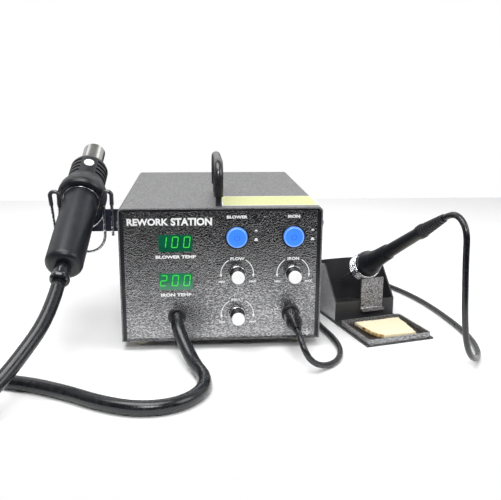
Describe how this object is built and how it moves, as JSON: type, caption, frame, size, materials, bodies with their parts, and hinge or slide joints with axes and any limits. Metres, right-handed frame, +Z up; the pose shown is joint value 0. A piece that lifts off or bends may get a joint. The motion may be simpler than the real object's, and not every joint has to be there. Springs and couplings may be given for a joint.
{
  "type": "hot air station",
  "caption": "Steel-cased hot air rework station with a hot air handpiece in a side cradle and a soldering iron in a stand with a sponge tray.",
  "frame": {"origin": "on the bench, under the middle of the footprint of the station, handpiece and stand together", "axes": "+X to the right as seen from the front panel, +Y to the rear, +Z up"},
  "size_m": [0.5697, 0.4559, 0.183],
  "materials": {
    "hammertone_black": "black hammertone enamel, coarse speckle, semi-gloss",
    "screw_steel": "zinc plated",
    "foot_rubber": "beige rubber, matt",
    "window_tint": "dark green tinted acrylic, glossy",
    "led_module": "black module",
    "switch_black": "black",
    "button_blue": "moulded blue",
    "knob_black": "black with a bright edge",
    "cap_white": "white",
    "bright_steel": "turned",
    "black_rubber": "matt",
    "socket_black": "moulded",
    "core_steel": "varnished laminations",
    "pump_grey": "moulded",
    "clear_silicone": "translucent",
    "board_green": "solder mask",
    "wire_chrome": "bright plated wire",
    "handle_black": "fine moulded texture",
    "grip_black": "soft matt plastic",
    "barrel_steel": "stainless, lightly heat tinted",
    "ceramic_white": "unglazed",
    "tip_plated": "plated",
    "sponge_yellow": "open cell cellulose",
    "cord_black": "silicone, satin"
  },
  "bodies": {
    "station": {"top_cover": "hammertone_black", "front_panel": "hammertone_black", "rear_panel": "hammertone_black", "base_pan": "hammertone_black", "carry_handle": "hammertone_black", "stand_base": "hammertone_black", "stand_guard": "hammertone_black", "stand_strap": "hammertone_black", "holder_bracket": "hammertone_black", "case_screws": "screw_steel", "rubber_feet": "foot_rubber", "air_temp_window": "window_tint", "solder_temp_window": "window_tint", "display_modules": "led_module", "push_switches": "switch_black", "potentiometers": "bright_steel", "hose_grommet": "black_rubber", "ear_sleeves": "black_rubber", "iron_socket": "socket_black", "iron_plug": "socket_black", "mains_inlet": "socket_black", "transformer": "core_steel", "air_pump": "pump_grey", "pump_air_tube": "clear_silicone", "control_board": "board_green", "cradle_wire": "wire_chrome", "iron_spring": "wire_chrome", "iron_cup": "handle_black", "hose_run": "cord_black", "hose_coil": "cord_black", "hose_rise": "cord_black", "iron_cord": "cord_black", "iron_cord_coil": "cord_black", "iron_cord_return": "cord_black"},
    "hot_air_button": {"air_button": "button_blue"},
    "soldering_button": {"solder_button": "button_blue"},
    "air_dial": {"air_knob": "knob_black", "air_knob_cap": "cap_white", "air_shaft": "bright_steel"},
    "heater_dial": {"heater_knob": "knob_black", "heater_knob_cap": "cap_white", "heater_shaft": "bright_steel"},
    "solder_dial": {"solder_knob": "knob_black", "solder_knob_cap": "cap_white", "solder_shaft": "bright_steel"},
    "handpiece": {"head_shell_left": "handle_black", "head_shell_right": "handle_black", "grip": "grip_black", "heater_barrel": "barrel_steel", "heater_core": "ceramic_white", "tail_gland": "handle_black"},
    "soldering_iron": {"iron_sleeve": "handle_black", "iron_handle": "handle_black", "iron_boot": "black_rubber", "iron_barrel": "barrel_steel", "iron_tip": "tip_plated", "iron_cord_tail": "cord_black"},
    "tray": {"sponge_tray": "hammertone_black", "sponge": "sponge_yellow"},
    "coupling_ring": {"plug_ring": "socket_black"}
  },
  "joints": [
    {"name": "hot_air_button_press", "type": "slide", "parent": "station", "child": "hot_air_button", "axis": [0, 1, 0], "range_m": [0, 0.003], "stiffness_N_per_m": 300, "springref_m": -0.002},
    {"name": "soldering_button_press", "type": "slide", "parent": "station", "child": "soldering_button", "axis": [0, 1, 0], "range_m": [0, 0.003], "stiffness_N_per_m": 300, "springref_m": -0.002},
    {"name": "air_dial_turn", "type": "hinge", "parent": "station", "child": "air_dial", "pos_m": [-0.00813, -0.10225, 0.0734], "axis": [0, -1, 0], "range_deg": [-145, 145]},
    {"name": "heater_dial_turn", "type": "hinge", "parent": "station", "child": "heater_dial", "pos_m": [-0.00783, -0.10225, 0.0336], "axis": [0, -1, 0], "range_deg": [-145, 145]},
    {"name": "solder_dial_turn", "type": "hinge", "parent": "station", "child": "solder_dial", "pos_m": [0.04436, -0.10225, 0.073], "axis": [0, -1, 0], "range_deg": [-145, 145]},
    {"name": "handpiece_lift", "type": "slide", "parent": "station", "child": "handpiece", "axis": [0, 0, 1], "range_m": [0, 0.07]},
    {"name": "iron_pull", "type": "slide", "parent": "station", "child": "soldering_iron", "axis": [0.2211, -0.8372, 0.5001], "range_m": [0, 0.11]},
    {"name": "tray_lift", "type": "slide", "parent": "station", "child": "tray", "axis": [0, 0, 1], "range_m": [0, 0.03]},
    {"name": "coupling_ring_turn", "type": "hinge", "parent": "station", "child": "coupling_ring", "pos_m": [0.04286, -0.10425, 0.033], "axis": [0, -1, 0], "range_deg": [0, 300]}
  ]
}
